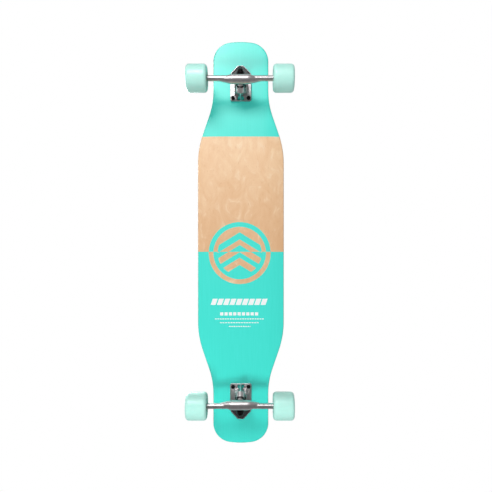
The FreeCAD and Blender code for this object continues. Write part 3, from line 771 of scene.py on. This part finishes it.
def build_trucks(materials):
    black = materials["black_steel"]
    silver = materials["cast_aluminium"]
    nuts = []
    pins = []
    for end in ENDS:
        seat, down, axle = truck_frame(end)
        soft_casting(end + "_hanger", end + "_hanger_body", silver, rounds=14)
        soft_casting(end + "_baseplate", "board", silver, rounds=8)
        build_bushings(end, seat, down, materials["bushing"])
        build_washers(end, seat, down, black)

        nut = lock_nut_shape(PIN_FLATS, PIN_RADIUS, height=8.5 * MM, collar=2.2 * MM)
        nuts.append(moved(nut, placed(seat + down * SEAT_BACK, down)))
        head_seat = seat - down * (SEAT_BACK + BOSS_THICKNESS)
        pin_length = BOSS_THICKNESS + 2 * SEAT_BACK + PIN_PAST_WASHER
        pins.append(kingpin_shape(head_seat, down, PIN_RADIUS, pin_length))
        build_axle(end, axle, materials)
    piece("kingpin_lock_nuts", joined(nuts), "board", black, "black_steel", "kingpin_nuts")
    piece("kingpin_bolts", joined(pins), "board", black, "black_steel", "kingpins")


def kingpin_shape(head_seat, down, radius, length):
    """A bolt with a bevelled hexagonal head, threaded over its free end."""
    dimple_radius = 0.5 * MM      # in the middle of the head
    thread_length = 22 * MM
    head = lock_nut_shape(PIN_FLATS, dimple_radius, height=5.5 * MM, collar=0.3 * MM)
    shank = threaded_rod(radius, length, [(length - thread_length, length)], pitch=1.5 * MM)
    return joined([moved(head, placed(head_seat, -down)), moved(shank, placed(head_seat, down))])


def build_axle(end, axle, materials):
    """The axle with its threaded ends, and a lock nut on each end."""
    radius = 4.0 * MM
    thread = 13 * MM
    nut_height = 6.5 * MM
    low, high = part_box(end + "_axle")
    length = high.y - low.y
    threads = [(0.0, thread), (length - thread, length)]
    shape = threaded_rod(radius, length, threads, pitch=1.25 * MM)
    shape = moved(shape, placed((axle.x, low.y, axle.z), (0, 1, 0)))
    body = end + "_hanger_body"
    piece(end + "_threaded_axle", shape, body, materials["axle_steel"], "axle_steel", end + "_axle")
    _, nut_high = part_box(end + "_axle_nuts")
    nut = lock_nut_shape(13.0 * MM, radius, nut_height, collar=1.6 * MM)
    nuts = []
    for side in SIDES.values():
        start = axle + Vector((0, side * (nut_high.y - nut_height), 0))
        nuts.append(moved(nut, placed(start, (0, side, 0))))
    piece(end + "_axle_lock_nuts", joined(nuts), body, materials["black_steel"], "black_steel",
          end + "_axle_nuts")


# ---- fasteners of the deck --------------------------------------------------------------


TRUCK_X = 409.5 * MM
HOLE_SPACING_X = 53.8 * MM
HOLE_SPACING_Y = 41.3 * MM


def bolt_places():
    """The mounting bolts' places on the deck, in plan."""
    places = []
    for sign in ENDS.values():
        for along in (-0.5, 0.5):
            for side in (-0.5, 0.5):
                places.append((sign * TRUCK_X + along * HOLE_SPACING_X, side * HOLE_SPACING_Y))
    return places


def build_mounting(materials):
    """The lock nuts on the mounting bolts, against the baseplates."""
    _, nut_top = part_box("mounting_nuts")
    bolt_radius = 2.4 * MM
    nut = lock_nut_shape(9.5 * MM, bolt_radius, height=5.0 * MM, collar=1.3 * MM)
    nuts = [moved(nut, placed((x, y, nut_top.z), (0, 0, -1))) for x, y in bolt_places()]
    piece("mounting_lock_nuts", joined(nuts), "board", materials["black_steel"], "black_steel",
          "mounting_nuts")


# ---- assembly ---------------------------------------------------------------------------


def dress_cad_nodes(materials):
    """Gives the CAD nodes that stay in sight their finished materials."""
    finishes = {
        "deck_bottom_veneer": "painted_veneer",
        "deck_top_veneer": "ply_light",
        "grip_tape": "grip",
        "mounting_bolts": "black_steel",
        "pivot_cups": "cup",
    }
    for ply in range(1, 6):
        finishes[f"deck_core_ply_{ply}"] = "ply_dark" if ply % 2 else "ply_light"
    endings = {
        "_bearing_inner_races": "bearing",
        "_bearing_outer_races": "bearing",
        "_bearing_balls": "bearing",
        "_bearing_cages": "cage",
        "_bearing_shields": "shield",
        "_bearing_spacers": "axle_steel",
        "_speed_washers": "axle_steel",
    }
    for name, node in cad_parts.items():
        for ending, finish in endings.items():
            if name.endswith(ending):
                finishes[name] = finish
        if name in finishes:
            # the lamps below the board light its underside strongly, and it throws no light on,
            # so that it doesn't tint the floor
            node.visible_diffuse = name != "deck_bottom_veneer"
            for material_slot in node.material_slots:
                material_slot.material = materials[finishes[name]]


# ---- studio -----------------------------------------------------------------------------


def build_floor():
    """A pale floor that is clear from below, so that the camera can look up through it, and that
    fades to white far from the board."""
    half = 12.0
    fade_from = 0.7
    fade_to = 2.6
    signs = ((-1, -1), (1, -1), (1, 1), (-1, 1))
    corners = [Vector((half * sign_x, half * sign_y, 0)) for sign_x, sign_y in signs]
    floor = new_object("floor", (corners, [[0, 1, 2, 3]]))
    nodes = Nodes("floor")
    nodes.set(base_color=srgb(243, 244, 244), roughness=0.7)
    white = nodes.add("ShaderNodeEmission", {"Color": (1, 1, 1, 1), "Strength": 1.0})
    length = nodes.add("ShaderNodeVectorMath", {0: nodes.place}, operation="LENGTH")
    fade = {"Value": length.outputs["Value"], "From Min": fade_from, "From Max": fade_to}
    far = nodes.add("ShaderNodeMapRange", fade, interpolation_type="SMOOTHSTEP")
    seen = {0: far.outputs[0], 1: nodes.shader.outputs[0], 2: white.outputs[0]}
    above = nodes.add("ShaderNodeMixShader", seen)
    clear = nodes.add("ShaderNodeBsdfTransparent")
    below = nodes.add("ShaderNodeNewGeometry").outputs["Backfacing"]
    mix = nodes.add("ShaderNodeMixShader", {0: below, 1: above.outputs[0], 2: clear.outputs[0]})
    nodes.give(nodes.tree.nodes["Material Output"].inputs["Surface"], mix.outputs[0])
    floor.data.materials.append(nodes.material)
    floor.visible_shadow = False
    floor.visible_diffuse = False
    floor.visible_glossy = False
    floor.visible_transmission = False


def build_world():
    """White to the camera, an even light on matt surfaces, and in reflections a room that is dim
    below the board and brighter above it."""
    world = bpy.data.worlds.new("studio")
    bpy.context.scene.world = world
    world.use_nodes = True
    tree = world.node_tree

    def even_light(strength):
        light = tree.nodes.new("ShaderNodeBackground")
        light.inputs["Color"].default_value = (1, 1, 1, 1)
        light.inputs["Strength"].default_value = strength
        return light

    direction = tree.nodes.new("ShaderNodeTexCoord")
    split = tree.nodes.new("ShaderNodeSeparateXYZ")
    tree.links.new(direction.outputs["Generated"], split.inputs[0])
    brightness = tree.nodes.new("ShaderNodeMapRange")
    room_settings = {"From Min": -0.5, "From Max": 0.5, "To Min": 0.2, "To Max": 0.55}
    for name, value in room_settings.items():
        brightness.inputs[name].default_value = value
    tree.links.new(split.outputs["Z"], brightness.inputs["Value"])
    room = even_light(1.0)
    tree.links.new(brightness.outputs[0], room.inputs["Strength"])

    ray = tree.nodes.new("ShaderNodeLightPath")
    result = even_light(0.31)
    for name, light in (("Is Glossy Ray", room), ("Is Camera Ray", even_light(1.0))):
        mix = tree.nodes.new("ShaderNodeMixShader")
        tree.links.new(ray.outputs[name], mix.inputs[0])
        tree.links.new(result.outputs[0], mix.inputs[1])
        tree.links.new(light.outputs[0], mix.inputs[2])
        result = mix
    tree.links.new(result.outputs[0], tree.nodes["World Output"].inputs["Surface"])


def softbox(name, place, target, size, watts, fill=True, sheen=True):
    """A square area light that faces its target. Without fill it makes highlights and nothing
    else, and without sheen it makes no highlights."""
    light = bpy.data.lights.new(name, "AREA")
    light.size = size
    light.energy = watts
    lamp = bpy.data.objects.new(name, light)
    bpy.context.collection.objects.link(lamp)
    lamp.location = place
    lamp.rotation_mode = "QUATERNION"
    lamp.rotation_quaternion = (Vector(target) - Vector(place)).to_track_quat("-Z", "Y")
    lamp.visible_diffuse = fill
    lamp.visible_glossy = sheen


def build_camera():
    """Looks straight up at the underside, with the nose at the top of the picture."""
    place = (-0.0097, 0.0313, -1.195)
    turn = Matrix(((0, 1, 0), (1, 0, 0), (0, 0, -1)))
    camera = bpy.data.cameras.new("camera")
    camera.sensor_width = 36.0
    camera.lens = 35.7
    camera.shift_x = -0.0133
    eye = bpy.data.objects.new("camera", camera)
    bpy.context.collection.objects.link(eye)
    eye.matrix_world = Matrix.Translation(place) @ turn.to_4x4()
    bpy.context.scene.camera = eye


def build_studio():
    build_floor()
    build_world()
    nose_place = (1.55, -0.5, -1.6)
    nose_target = (0.1, 0, 0.1)
    tail_place = (-1.25, -0.3, -1.6)
    tail_target = (-0.3, 0, 0.1)
    softbox("nose_softbox", nose_place, nose_target, size=0.7, watts=27)
    softbox("nose_sheen", nose_place, nose_target, size=0.6, watts=13, fill=False)
    softbox("tail_softbox", tail_place, tail_target, size=0.5, watts=19, sheen=False)
    softbox("top_softbox", (0.5, -1.0, 1.7), (0, 0, 0), size=1.3, watts=60)
    build_camera()
    bpy.context.scene.view_settings.view_transform = "Standard"


ALL_MATERIALS = make_materials()
dress_cad_nodes(ALL_MATERIALS)
build_wheels(ALL_MATERIALS)
build_trucks(ALL_MATERIALS)
build_mounting(ALL_MATERIALS)
build_studio()
